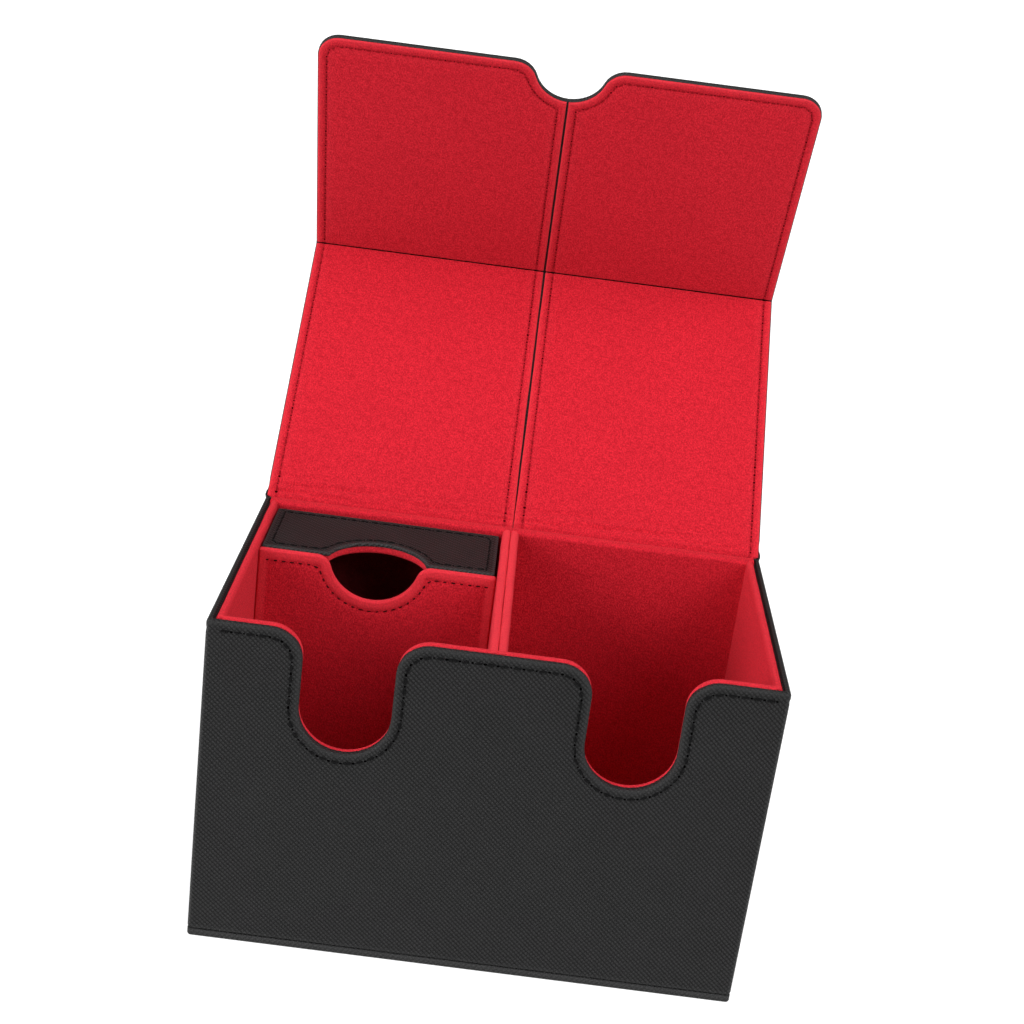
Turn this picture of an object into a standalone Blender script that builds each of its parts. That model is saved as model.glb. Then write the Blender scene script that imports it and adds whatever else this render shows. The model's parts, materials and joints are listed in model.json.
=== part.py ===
"""Card deck box: two compartments, two split lids that fold over the front, and a lift-out tray.

The walls are card boards between a black grained leather skin and red suede liners.
+X is to the right, +Y to the hinge side and +Z up. The origin is the centre of the resting face.
Each lid turns on a hinge along the back edge, and its flap on a fold line along its other end.
The lids stand open: the hinge and the fold are at their resting angles.
"""

import math

import bmesh
import bpy

# Case
WIDTH = 0.156
DEPTH = 0.092
HEIGHT = 0.100
GAP = 0.0003
LEATHER = 0.0005
CORNER_RADIUS = 0.0012
BASE_HEIGHT = 0.0024
SIDE_BOARD = 0.0010
FRONT_BOARD = 0.0013
SIDE_LINER = 0.0023
FRONT_LINER = 0.0021
FLOOR_LINER = 0.0020
DIVIDER_PANEL = 0.00245
DIVIDER_X = -0.0005
LEATHER_BELOW_LINER = 0.0005
BACK_LINER_DROP = 0.0004
BACK_LEATHER_TOP = 0.0960

# Finger notches in the front wall
NOTCH_X = 0.0388
NOTCH_SHIFT = -0.0004
NOTCH_HALF_WIDTH = 0.01255
NOTCH_BOTTOM = 0.0646
NOTCH_FLARE = 0.0090
LINER_PROUD = 0.0004

# Lids
HINGE_Z = HEIGHT + GAP
LID_ANGLE = math.radians(42.0)
LID_LENGTH = 0.0965
FOLD_ANGLE = math.radians(74.8)
FLAP_LENGTH = 0.0804
LID_SPLIT = 0.0010
LINING = 0.0006
LID_BOARD = 0.0015
BOARD_INSET = 0.0008
HINGE_GUTTER = 0.0060
FOLD_GUTTER = 0.0015
HINGE_BEND = 0.0012
HINGE_BEND_DROP = 0.0019
LINING_REACH = 0.0004
FLAP_CORNER_RADIUS = 0.0070
FLAP_NOTCH_RADIUS = 0.0110
FLAP_NOTCH_CENTRE = -0.0012
FLAP_NOTCH_FLARE = 0.0075

# Magnets
MAGNET_RADIUS = 0.0040
MAGNET_THICKNESS = 0.0010
MAGNET_HOLE_RADIUS = MAGNET_RADIUS + GAP
MAGNET_X = (0.0220, 0.0600)
MAGNET_Z = 0.0300

# Tray and its cover
TRAY_LEFT = -0.0731
TRAY_RIGHT = -0.0039
TRAY_FRONT = 0.0112
TRAY_BACK = 0.0411
TRAY_TOP = 0.0983
TRAY_PANEL = 0.0015
TRAY_NOTCH_RADIUS = 0.0148
TRAY_NOTCH_CENTRE = 0.0032
COVER_LEFT = -0.0733
COVER_RIGHT = -0.0034
COVER_FRONT = 0.0084
COVER_SUEDE = 0.0005
COVER_BOARD = 0.0009
COVER_TOP = 0.0982
COVER_NOTCH_RADIUS = 0.0134
COVER_NOTCH_CENTRE = 0.0008
COVER_NOTCH_FLARE = 0.0045
COVER_NOTCH_SHIFT = -0.0010

ARC_STEP = math.radians(15.0)

# Places that follow from the sizes above
HALF_WIDTH = WIDTH / 2
HALF_DEPTH = DEPTH / 2
WALL_BASE = BASE_HEIGHT + GAP
FLOOR_TOP = WALL_BASE + FLOOR_LINER
LINER_BASE = FLOOR_TOP + GAP
BOARD_TOP = HEIGHT - LEATHER_BELOW_LINER - GAP
FRONT_BOARD_OUT = HALF_DEPTH - LEATHER - GAP
FRONT_BOARD_IN = FRONT_BOARD_OUT - FRONT_BOARD
FRONT_LINER_OUT = FRONT_BOARD_IN - GAP
FRONT_LINER_IN = FRONT_LINER_OUT - FRONT_LINER
SIDE_BOARD_OUT = HALF_WIDTH - LEATHER - GAP
SIDE_LINER_OUT = SIDE_BOARD_OUT - SIDE_BOARD - GAP
SIDE_LINER_IN = SIDE_LINER_OUT - SIDE_LINER
PANEL_END = FRONT_LINER_IN - GAP
LID_THICKNESS = LINING + GAP + LID_BOARD + GAP + LEATHER

BLACK_LEATHER = {"color": (0.027, 0.027, 0.028, 1), "roughness": 0.6, "metallic": 0}
RED_SUEDE = {"color": (0.520, 0.011, 0.022, 1), "roughness": 0.95, "metallic": 0}
GREY_BOARD = {"color": (0.300, 0.280, 0.250, 1), "roughness": 0.9, "metallic": 0}
NICKEL = {"color": (0.600, 0.590, 0.570, 1), "roughness": 0.3, "metallic": 1}


def clear_scene():
    for obj in list(bpy.data.objects):
        bpy.data.objects.remove(obj, do_unlink=True)


def new_collection(name):
    collection = bpy.data.collections.new(name)
    bpy.context.scene.collection.children.link(collection)
    return collection


def principled(name, finish):
    material = bpy.data.materials.new(name)
    material.use_nodes = True
    shader = material.node_tree.nodes["Principled BSDF"]
    shader.inputs["Base Color"].default_value = finish["color"]
    shader.inputs["Roughness"].default_value = finish["roughness"]
    shader.inputs["Metallic"].default_value = finish["metallic"]
    return material


def add_part(name, data, finish, parent=None):
    """A named object in the part's collection, with a material of its own."""
    obj = bpy.data.objects.new(name, data)
    data.materials.append(principled(name + "_finish", finish))
    PARTS.objects.link(obj)
    obj.parent = parent
    return obj


def add_axis(name, location, angle, parent=None):
    """An empty on a joint's axis, turned about X."""
    empty = bpy.data.objects.new(name, None)
    PARTS.objects.link(empty)
    empty.location = location
    empty.rotation_euler = (angle, 0, 0)
    empty.parent = parent
    return empty


def box_mesh(name, low, high, open_towards=None):
    """A cube stretched between two corners. It may be open on the side that faces open_towards."""
    mesh = bpy.data.meshes.new(name)
    bm = bmesh.new()
    bmesh.ops.create_cube(bm, size=1)
    size = [b - a for a, b in zip(low, high)]
    centre = [(a + b) / 2 for a, b in zip(low, high)]
    bmesh.ops.scale(bm, vec=size, verts=bm.verts)
    bmesh.ops.translate(bm, vec=centre, verts=bm.verts)
    bm.normal_update()
    if open_towards:
        sides = [f for f in bm.faces if any(f.normal.dot(way) > 0.5 for way in open_towards)]
        bmesh.ops.delete(bm, geom=sides, context="FACES")
    bm.to_mesh(mesh)
    bm.free()
    return mesh


def slab(name, low, high, finish, parent=None):
    return add_part(name, box_mesh(name, low, high), finish, parent)


def skin(name, low, high, open_towards, finish, radius=0.0):
    """A thin box wall with its outer faces at the two corners, open on the sides given."""
    obj = add_part(name, box_mesh(name, low, high, open_towards), finish)
    if radius:
        rounding = obj.modifiers.new("Rounded corners", "BEVEL")
        rounding.width = radius
        rounding.segments = 2
    thickness = obj.modifiers.new("Thickness", "SOLIDIFY")
    thickness.thickness = LEATHER
    thickness.offset = -1
    thickness.use_even_offset = True
    return obj


def flat_curve(name, outlines, thickness):
    """A filled flat outline, with any further outlines as holes in it, as thick as given."""
    curve = bpy.data.curves.new(name, "CURVE")
    curve.dimensions = "2D"
    curve.fill_mode = "BOTH"
    curve.extrude = thickness / 2
    for outline in outlines:
        spline = curve.splines.new("POLY")
        spline.points.add(len(outline) - 1)
        for point, (x, y) in zip(spline.points, outline):
            point.co = (x, y, 0, 1)
        spline.use_cyclic_u = True
    return curve


def lying_plate(name, outlines, low, high, finish, parent=None):
    """A plate in the XY plane, from height low to height high."""
    obj = add_part(name, flat_curve(name, outlines, high - low), finish, parent)
    obj.location.z = (low + high) / 2
    return obj


def standing_plate(name, outlines, front, back, finish, parent=None):
    """A plate in the XZ plane, from front to back along Y."""
    obj = add_part(name, flat_curve(name, outlines, back - front), finish, parent)
    obj.location.y = (front + back) / 2
    obj.rotation_euler.x = math.radians(90)
    return obj


def bent_sheet(name, path, left, right, thickness, finish, parent=None):
    """A sheet that follows a path of (y, z) points and runs from left to right along X."""
    mesh = bpy.data.meshes.new(name)
    bm = bmesh.new()
    verts = [bm.verts.new((left, y, z)) for y, z in path]
    edges = [bm.edges.new(pair) for pair in zip(verts, verts[1:])]
    swept = bmesh.ops.extrude_edge_only(bm, edges=edges)["geom"]
    moved = [item for item in swept if isinstance(item, bmesh.types.BMVert)]
    bmesh.ops.translate(bm, vec=(right - left, 0, 0), verts=moved)
    bm.to_mesh(mesh)
    bm.free()
    obj = add_part(name, mesh, finish, parent)
    solid = obj.modifiers.new("Thickness", "SOLIDIFY")
    solid.thickness = thickness
    solid.offset = 0
    solid.use_even_offset = True
    return obj


def disc(name, x, y, z, turned, parent=None):
    """A disc magnet. Its flat faces point along Z, or along Y when it is turned."""
    mesh = bpy.data.meshes.new(name)
    bm = bmesh.new()
    bmesh.ops.create_cone(
        bm,
        cap_ends=True,
        segments=24,
        radius1=MAGNET_RADIUS,
        radius2=MAGNET_RADIUS,
        depth=MAGNET_THICKNESS,
    )
    bm.to_mesh(mesh)
    bm.free()
    obj = add_part(name, mesh, NICKEL, parent)
    obj.location = (x, y, z)
    obj.rotation_euler.x = math.radians(90) if turned else 0
    return obj


def cut(obj, cutter):
    boolean = obj.modifiers.new("Cut by " + cutter.name, "BOOLEAN")
    boolean.operation = "DIFFERENCE"
    boolean.object = cutter


def as_cutter(name, curve, location, rotation_x):
    """A closed mesh made from a flat outline, kept as a hidden cutter."""
    source = bpy.data.objects.new(name, curve)
    CUTTERS.objects.link(source)
    source.location = location
    source.rotation_euler.x = rotation_x
    bpy.context.view_layer.update()
    mesh = bpy.data.meshes.new_from_object(source.evaluated_get(bpy.context.evaluated_depsgraph_get()))
    bm = bmesh.new()
    bm.from_mesh(mesh)
    bmesh.ops.remove_doubles(bm, verts=bm.verts, dist=1e-6)
    bmesh.ops.recalc_face_normals(bm, faces=bm.faces)
    bm.to_mesh(mesh)
    bm.free()
    cutter = bpy.data.objects.new(name + "_cutter", mesh)
    cutter.matrix_world = source.matrix_world
    CUTTERS.objects.link(cutter)
    bpy.data.objects.remove(source, do_unlink=True)
    cutter.hide_render = True
    cutter.display_type = "WIRE"
    return cutter


def arc(x, y, radius, start, end):
    """Points on an arc about (x, y), both ends included."""
    steps = max(2, math.ceil(abs(end - start) / ARC_STEP))
    angles = [start + (end - start) * i / steps for i in range(steps + 1)]
    return [(x + radius * math.cos(a), y + radius * math.sin(a)) for a in angles]


def circle(x, y, radius):
    return arc(x, y, radius, 0, 2 * math.pi)[:-1]


def rectangle(left, low, right, high):
    return [(left, low), (right, low), (right, high), (left, high)]


def u_notch(x, edge, grown=0.0):
    """A finger notch that goes down from the height edge, from its right flare to its left one."""
    half = NOTCH_HALF_WIDTH + grown
    flare = NOTCH_FLARE - grown
    bottom = NOTCH_BOTTOM + NOTCH_HALF_WIDTH
    right, left = x + half + flare, x - half - flare
    return (
        arc(right, edge - flare, flare, math.pi / 2, math.pi)
        + arc(x, bottom, half, 0, -math.pi)
        + arc(left, edge - flare, flare, 0, math.pi / 2)
    )


def round_notch(x, edge, radius, centre, flare, last=None):
    """A round notch in the edge at the height edge, with a rounded corner where it meets the edge.

    centre is how far above the edge the circle's centre is. The points run from the right to the left,
    and stop on the circle at the angle last where the rest of the notch is in another piece.
    """
    drop = math.asin((centre + flare) / (radius + flare))
    reach = (radius + flare) * math.cos(drop)
    right_corner = arc(x + reach, edge - flare, flare, math.pi / 2, math.pi - drop)
    left_corner = arc(x - reach, edge - flare, flare, drop, math.pi / 2)
    if last is not None:
        return right_corner + arc(x, edge + centre, radius, -drop, last)
    return right_corner + arc(x, edge + centre, radius, -drop, drop - math.pi) + left_corner


def front_outline(left, low, right, high, grown):
    """The front wall with its two finger notches."""
    right_notch = u_notch(NOTCH_SHIFT + NOTCH_X, high, grown)
    left_notch = u_notch(NOTCH_SHIFT - NOTCH_X, high, grown)
    return [(left, low), (right, low), (right, high)] + right_notch + left_notch + [(left, high)]


def flap_outline(side, start, inset):
    """One flap, seen with its fold line down: a rounded outer corner and half of the shared notch."""
    split = LID_SPLIT / 2 + inset
    end = FLAP_LENGTH - inset
    outer = HALF_WIDTH - inset
    corner = FLAP_CORNER_RADIUS - inset
    radius = FLAP_NOTCH_RADIUS + inset
    centre, flare = FLAP_NOTCH_CENTRE + inset, FLAP_NOTCH_FLARE - inset
    outline = [(split, start), (outer, start)]
    outline += arc(outer - corner, end - corner, corner, 0, math.pi / 2)
    outline += round_notch(0, end, radius, centre, flare, last=-math.acos(split / radius))
    return [(side * x, y) for x, y in outline]


def cover_outline(inset):
    """The tray cover with its finger notch."""
    left, right = COVER_LEFT + inset, COVER_RIGHT - inset
    low, high = LINER_BASE + inset, COVER_TOP - inset
    notch = round_notch(
        (TRAY_LEFT + TRAY_RIGHT) / 2 + COVER_NOTCH_SHIFT,
        high,
        COVER_NOTCH_RADIUS + inset,
        COVER_NOTCH_CENTRE + inset,
        COVER_NOTCH_FLARE - inset,
    )
    return [(left, low), (right, low), (right, high)] + notch + [(left, high)]


def make_base():
    skin(
        "base_leather",
        (-HALF_WIDTH, -HALF_DEPTH, 0),
        (HALF_WIDTH, HALF_DEPTH, BASE_HEIGHT),
        [(0, 0, 1)],
        BLACK_LEATHER,
        CORNER_RADIUS,
    )
    inset = LEATHER + GAP + CORNER_RADIUS / 2
    slab(
        "base_board",
        (inset - HALF_WIDTH, inset - HALF_DEPTH, LEATHER + GAP),
        (HALF_WIDTH - inset, HALF_DEPTH - inset, BASE_HEIGHT),
        GREY_BOARD,
    )


def make_leather_wrap():
    wrap = skin(
        "leather_wrap",
        (-HALF_WIDTH, -HALF_DEPTH, WALL_BASE),
        (HALF_WIDTH, HALF_DEPTH, HEIGHT - LEATHER_BELOW_LINER),
        [(0, 0, 1), (0, 0, -1)],
        BLACK_LEATHER,
        CORNER_RADIUS,
    )
    reach = 2 * (HALF_DEPTH - FRONT_LINER_IN)
    for side, word in ((-1, "left"), (1, "right")):
        outline = u_notch(NOTCH_SHIFT + side * NOTCH_X, HEIGHT - LEATHER_BELOW_LINER)
        right, left = outline[0], outline[-1]
        outline = [(right[0], HEIGHT)] + outline + [(left[0], HEIGHT)]
        curve = flat_curve(word + "_notch", [outline], reach)
        cut(wrap, as_cutter(word + "_notch", curve, (0, -HALF_DEPTH, 0), math.radians(90)))
    inner = HALF_WIDTH - LEATHER - CORNER_RADIUS
    outline = rectangle(-inner, BACK_LEATHER_TOP, inner, HEIGHT)
    curve = flat_curve("hinge_gap", [outline], reach)
    cut(wrap, as_cutter("hinge_gap", curve, (0, HALF_DEPTH, 0), math.radians(90)))


def make_boards():
    end = SIDE_BOARD_OUT - GAP
    low, high = WALL_BASE, BOARD_TOP
    holes = [
        circle(side * x, MAGNET_Z, MAGNET_HOLE_RADIUS) for side in (-1, 1) for x in MAGNET_X
    ]
    standing_plate(
        "front_board",
        [front_outline(-end, low, end, high, GAP)] + holes,
        -FRONT_BOARD_OUT,
        -FRONT_BOARD_IN,
        GREY_BOARD,
    )
    slab("back_board", (-end, FRONT_BOARD_IN, low), (end, FRONT_BOARD_OUT, high), GREY_BOARD)
    for side, word in ((-1, "left"), (1, "right")):
        ends = sorted((side * (SIDE_BOARD_OUT - SIDE_BOARD), side * SIDE_BOARD_OUT))
        slab(
            word + "_side_board",
            (ends[0], -FRONT_LINER_OUT, low),
            (ends[1], FRONT_LINER_OUT, high),
            GREY_BOARD,
        )


def make_liners():
    standing_plate(
        "front_liner",
        [front_outline(-SIDE_LINER_OUT, LINER_BASE, SIDE_LINER_OUT, HEIGHT, -LINER_PROUD)],
        -FRONT_LINER_OUT,
        -FRONT_LINER_IN,
        RED_SUEDE,
    )
    slab(
        "back_liner",
        (-SIDE_LINER_OUT, FRONT_LINER_IN, LINER_BASE),
        (SIDE_LINER_OUT, FRONT_LINER_OUT, HEIGHT - BACK_LINER_DROP),
        RED_SUEDE,
    )
    for side, word in ((-1, "left"), (1, "right")):
        outer = sorted((side * SIDE_LINER_IN, side * SIDE_LINER_OUT))
        slab(
            word + "_side_liner",
            (outer[0], -PANEL_END, LINER_BASE),
            (outer[1], PANEL_END, HEIGHT),
            RED_SUEDE,
        )
        seam = DIVIDER_X + side * GAP / 2
        inner = sorted((seam, seam + side * DIVIDER_PANEL))
        slab(
            word + "_divider_panel",
            (inner[0], -PANEL_END, LINER_BASE),
            (inner[1], PANEL_END, HEIGHT),
            RED_SUEDE,
        )
        floor = sorted((seam, side * SIDE_LINER_OUT))
        slab(
            word + "_floor_liner",
            (floor[0], -FRONT_LINER_OUT, WALL_BASE),
            (floor[1], FRONT_LINER_OUT, FLOOR_TOP),
            RED_SUEDE,
        )


def make_case_magnets():
    middle = -(FRONT_BOARD_IN + FRONT_BOARD_OUT) / 2
    for side, word in ((-1, "left"), (1, "right")):
        for x, place in zip(MAGNET_X, ("inner", "outer")):
            disc(f"{word}_{place}_case_magnet", side * x, middle, MAGNET_Z, True)


def make_lid_panel(word, side, lid):
    """Lining, board and leather of the lid's top panel, which runs along the lid's own +Y."""
    inner, outer = LID_SPLIT / 2, HALF_WIDTH
    board_low = -(LINING + GAP + LID_BOARD)
    end = LID_LENGTH - FOLD_GUTTER

    def panel(name, inset, start, stop, low, high, finish):
        across = sorted((side * (inner + inset), side * (outer - inset)))
        slab(f"{word}_{name}", (across[0], start, low), (across[1], stop, high), finish, lid)

    panel("lid_lining", 0, 3 * GAP, LID_LENGTH - GAP, -LINING, 0, RED_SUEDE)
    panel("lid_board", BOARD_INSET, HINGE_GUTTER, end, board_low, -(LINING + GAP), GREY_BOARD)
    panel("lid_leather", 0, HINGE_GUTTER, end, -LID_THICKNESS, board_low - GAP, BLACK_LEATHER)


def make_flap(word, side, flap):
    """Lining, board, leather and magnets of the flap, which runs along the flap's own +Y."""
    board_low = -(LINING + GAP + LID_BOARD)
    board_high = -(LINING + GAP)
    magnet_y = HINGE_Z - MAGNET_Z
    holes = [circle(side * x, magnet_y, MAGNET_HOLE_RADIUS) for x in MAGNET_X]
    lying_plate(
        f"{word}_flap_lining", [flap_outline(side, GAP, 0)], -LINING, 0, RED_SUEDE, flap
    )
    lying_plate(
        f"{word}_flap_board",
        [flap_outline(side, FOLD_GUTTER, BOARD_INSET)] + holes,
        board_low,
        board_high,
        GREY_BOARD,
        flap,
    )
    lying_plate(
        f"{word}_flap_leather",
        [flap_outline(side, FOLD_GUTTER, 0)],
        -LID_THICKNESS,
        board_low - GAP,
        BLACK_LEATHER,
        flap,
    )
    middle = (board_low + board_high) / 2
    for x, place in zip(MAGNET_X, ("inner", "outer")):
        disc(f"{word}_{place}_flap_magnet", side * x, magnet_y, middle, False, flap)


def make_hinge_strips(word, side):
    """The leather and the lining that bend at the lid's hinge, as they lie with the lid at rest."""
    left, right = sorted((side * LID_SPLIT / 2, side * (HALF_WIDTH - CORNER_RADIUS - 2 * GAP)))

    def on_lid(along, depth):
        """(y, z) of a point on the lid: along it from the hinge, and deep below its lining face."""
        y = HALF_DEPTH + along * math.cos(LID_ANGLE) + depth * math.sin(LID_ANGLE)
        z = HINGE_Z + along * math.sin(LID_ANGLE) - depth * math.cos(LID_ANGLE)
        return y, z

    middle = HALF_DEPTH - LEATHER / 2
    gutter_depth = LINING + 2 * LEATHER
    leather_depth = LID_THICKNESS - LEATHER / 2
    path = [
        (middle, BACK_LEATHER_TOP + GAP),
        (middle, HEIGHT - HINGE_BEND_DROP),
        (middle + HINGE_BEND / 2, HEIGHT - HINGE_BEND_DROP + HINGE_BEND),
        on_lid(HINGE_BEND, gutter_depth),
        on_lid(HINGE_GUTTER / 2, gutter_depth),
        on_lid(HINGE_GUTTER - HINGE_BEND, leather_depth - HINGE_BEND / 3),
        on_lid(HINGE_GUTTER - GAP, leather_depth),
    ]
    bent_sheet(f"{word}_hinge_leather", path, left, right, LEATHER, BLACK_LEATHER)
    path = [
        (FRONT_LINER_OUT + GAP, BOARD_TOP + 2 * GAP),
        (FRONT_BOARD_OUT - GAP, BOARD_TOP + 2 * GAP),
        on_lid(LINING_REACH, LINING / 2),
    ]
    bent_sheet(f"{word}_hinge_lining", path, left, right, LEATHER, RED_SUEDE)


def make_fold_strip(word, side, lid):
    """The leather that bends round the outside of the fold between the lid and its flap."""
    left, right = sorted((side * LID_SPLIT / 2, side * HALF_WIDTH))
    radius = LID_THICKNESS - LEATHER / 2
    turned = FOLD_ANGLE - math.pi / 2
    reach = FOLD_GUTTER - GAP
    path = [(LID_LENGTH - reach, -radius)]
    path += arc(LID_LENGTH, 0, radius, -math.pi / 2, turned)
    path += [
        (
            LID_LENGTH + reach * math.cos(FOLD_ANGLE) + radius * math.sin(FOLD_ANGLE),
            reach * math.sin(FOLD_ANGLE) - radius * math.cos(FOLD_ANGLE),
        )
    ]
    bent_sheet(f"{word}_fold_leather", path, left, right, LEATHER, BLACK_LEATHER, lid)


def make_lids():
    for side, word in ((-1, "left"), (1, "right")):
        lid = add_axis(word + "_lid_axis", (0, HALF_DEPTH, HINGE_Z), LID_ANGLE)
        flap = add_axis(word + "_flap_axis", (0, LID_LENGTH, 0), FOLD_ANGLE, lid)
        make_lid_panel(word, side, lid)
        make_flap(word, side, flap)
        make_hinge_strips(word, side)
        make_fold_strip(word, side, lid)


def make_tray():
    """A box that is open at the front: leather outside, and suede-covered boards inside."""
    low, high = LINER_BASE, TRAY_TOP
    middle = (TRAY_LEFT + TRAY_RIGHT) / 2
    leather = skin(
        "tray_leather",
        (TRAY_LEFT, TRAY_FRONT, low),
        (TRAY_RIGHT, TRAY_BACK, high),
        [(0, -1, 0)],
        BLACK_LEATHER,
    )
    outline = circle(middle, TRAY_FRONT - TRAY_NOTCH_CENTRE, TRAY_NOTCH_RADIUS)
    curve = flat_curve("tray_notch", [outline], 4 * LEATHER)
    cut(leather, as_cutter("tray_notch", curve, (0, 0, high), 0))

    skin_depth = LEATHER + GAP
    left, right = TRAY_LEFT + skin_depth, TRAY_RIGHT - skin_depth
    front, back = TRAY_FRONT + GAP, TRAY_BACK - skin_depth
    bottom, top = low + skin_depth, high - skin_depth
    radius = TRAY_NOTCH_RADIUS - LINER_PROUD
    centre = TRAY_NOTCH_CENTRE + GAP
    reach = math.sqrt(radius**2 - centre**2)
    angle = math.atan2(centre, reach)
    outline = (
        [(left, front)]
        + arc(middle, front - centre, radius, math.pi - angle, angle)
        + [(right, front), (right, back), (left, back)]
    )
    lying_plate("tray_top_panel", [outline], top - TRAY_PANEL, top, RED_SUEDE)
    slab(
        "tray_bottom_panel",
        (left, front, bottom),
        (right, back, bottom + TRAY_PANEL),
        RED_SUEDE,
    )
    bottom += TRAY_PANEL + GAP
    top -= TRAY_PANEL + GAP
    slab("tray_left_panel", (left, front, bottom), (left + TRAY_PANEL, back, top), RED_SUEDE)
    slab("tray_right_panel", (right - TRAY_PANEL, front, bottom), (right, back, top), RED_SUEDE)
    left += TRAY_PANEL + GAP
    right -= TRAY_PANEL + GAP
    slab("tray_back_panel", (left, back - TRAY_PANEL, bottom), (right, back, top), RED_SUEDE)


def make_cover():
    """The suede-covered board that closes the front of the tray."""
    front = COVER_FRONT
    for name, thickness, inset, finish in (
        ("cover_front_suede", COVER_SUEDE, 0, RED_SUEDE),
        ("cover_board", COVER_BOARD, BOARD_INSET, GREY_BOARD),
        ("cover_back_suede", COVER_SUEDE, 0, RED_SUEDE),
    ):
        standing_plate(name, [cover_outline(inset)], front, front + thickness, finish)
        front += thickness + GAP


clear_scene()
PARTS = new_collection("card_deck_box")
CUTTERS = new_collection("card_deck_box_cutters")
make_base()
make_leather_wrap()
make_boards()
make_liners()
make_case_magnets()
make_lids()
make_tray()
make_cover()
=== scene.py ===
"""The looks of the card deck box: grained leather, suede linings, stitching, light and camera.

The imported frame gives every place. Shapes are worked out in millimetres and stored in metres.
A plate is drawn flat, as rings of one outline, and a place function then lays it on its body.
"""

import json
import math

import bmesh
import bpy
import numpy as np
from mathutils import Matrix, Vector, noise


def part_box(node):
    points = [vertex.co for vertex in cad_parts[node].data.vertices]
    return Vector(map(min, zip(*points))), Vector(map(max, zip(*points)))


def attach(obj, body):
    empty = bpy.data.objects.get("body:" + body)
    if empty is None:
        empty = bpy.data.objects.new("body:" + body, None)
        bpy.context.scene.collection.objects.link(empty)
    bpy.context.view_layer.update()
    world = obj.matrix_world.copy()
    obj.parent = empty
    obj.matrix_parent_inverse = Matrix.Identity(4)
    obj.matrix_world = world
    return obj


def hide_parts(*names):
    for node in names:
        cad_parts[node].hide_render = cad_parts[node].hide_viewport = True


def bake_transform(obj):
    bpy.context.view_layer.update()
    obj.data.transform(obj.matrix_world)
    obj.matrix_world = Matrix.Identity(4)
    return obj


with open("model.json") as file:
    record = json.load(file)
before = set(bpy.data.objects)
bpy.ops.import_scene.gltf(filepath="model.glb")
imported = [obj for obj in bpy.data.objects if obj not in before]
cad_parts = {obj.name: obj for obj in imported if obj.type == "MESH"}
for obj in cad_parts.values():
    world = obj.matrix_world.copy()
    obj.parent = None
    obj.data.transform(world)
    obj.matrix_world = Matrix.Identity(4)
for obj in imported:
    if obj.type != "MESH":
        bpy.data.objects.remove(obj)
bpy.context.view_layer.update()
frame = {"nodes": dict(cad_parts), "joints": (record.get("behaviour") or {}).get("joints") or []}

MM = 0.001
SIDES = ((-1, "left"), (1, "right"))
WELD = 1e-4
SHARP = math.radians(42)
BEND_REACH = 0.4


def box_mm(node):
    """A CAD node's box in millimetres."""
    low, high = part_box(node)
    return low / MM, high / MM


def joint_yz(name):
    """Where a hinge's axis crosses the YZ plane."""
    found = next(j for j in frame["joints"] if j["name"] == name)
    return Vector(found["pos_m"][1:]) / MM


# Places from the frame
WRAP_LOW, WRAP_HIGH = box_mm("leather_wrap")
HALF_WIDTH, HALF_DEPTH, RIM_TOP = WRAP_HIGH
FRONT_LINER_LOW, FRONT_LINER_HIGH = box_mm("front_liner")
BACK_LINER_LOW, BACK_LINER_HIGH = box_mm("back_liner")
WALL_INSIDE = -FRONT_LINER_LOW.y + 0.1
HINGE = joint_yz("left_lid_hinge")
FOLD = joint_yz("left_flap_fold")
LID_LENGTH = (FOLD - HINGE).length
LID_ALONG = (FOLD - HINGE).normalized()
LID_UP = Vector((-LID_ALONG.y, LID_ALONG.x))
FOLD_ANGLE = math.radians(74.8)
FLAP_ALONG = Matrix.Rotation(FOLD_ANGLE, 2) @ LID_ALONG
FLAP_UP = Vector((-FLAP_ALONG.y, FLAP_ALONG.x))

# Outlines, as in the part
NOTCH_X = (38.4, -39.2)
NOTCH_HALF = 12.55
NOTCH_BOTTOM = 64.6
NOTCH_FLARE = 9.0
RIM_PUFF = 0.4
FRONT_INSET = 2.7
LINER_BACK = 0.25
CORNER = 1.2
BURY = 1.2
BACK_SEAM = 96.0
BACK_HALF = 76.15
TUCK_HALF = 75.9
SHOULDER = 70
SPLIT = 0.002
EDGE_STEP = 0.32
SEAM_X = -0.5
FLAP_END = 80.4
FLAP_CORNER = 7.0
FLAP_NOTCH = (11.0, -1.2, 7.5)
COVER_NOTCH = (13.4, 0.8, 4.5)
COVER_SHIFT = -1.0
TRAY_NOTCH = (14.8, 3.2, 0.8)

# Leather and suede
SKIN = 0.5
TRAY_SKIN = 0.62
LID_DEPTH = 3.2
LEATHER_TOP = 0.85
LINING = 0.8
FOLD_REACH = 1.5
HINGE_GUTTER = 6.0
STITCH_INSET = 2.9
STEPS = 6
CREASE_HALF = 0.6
CREASE_DEPTH = 0.75
CREASE_STEPS = (0.02, 0.06, 0.12, 0.22, 0.35, 0.48, 0.61)

# Stitches: pitch, the thread's length and radius, its lift, its depth, and the holes' radius
FRONT_STITCH = (3.4, 2.3, 0.38, 0.12, 0.12, 0.68)
LINING_STITCH = (2.75, 1.5, 0.22, 0.05, 0.22, 0.38)
OUTSIDE_STITCH = (3.2, 2.3, 0.24, 0.15, 0.12, 0.42)
TRAY_STITCH = (3.3, 2.4, 0.27, 0.13, 0.10, 0.46)
COVER_STITCH = (2.45, 1.2, 0.23, 0.06, 0.17, 0.12)

# Camera and stage, in metres and degrees: the camera's turn is its azimuth, elevation and roll
CAMERA_TURN = (-0.51, 21.58, 7.51)
CAMERA_AIM = (0, 0, 0.0585)
CAMERA_SHIFT = (0.00653, 0.05967)
CAMERA_DISTANCE = 0.508
FLOOR_REACH = 10.0
WALL_REACH = 9.5
WALL_PANELS = 48
SUN_SPREAD = 45
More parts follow.
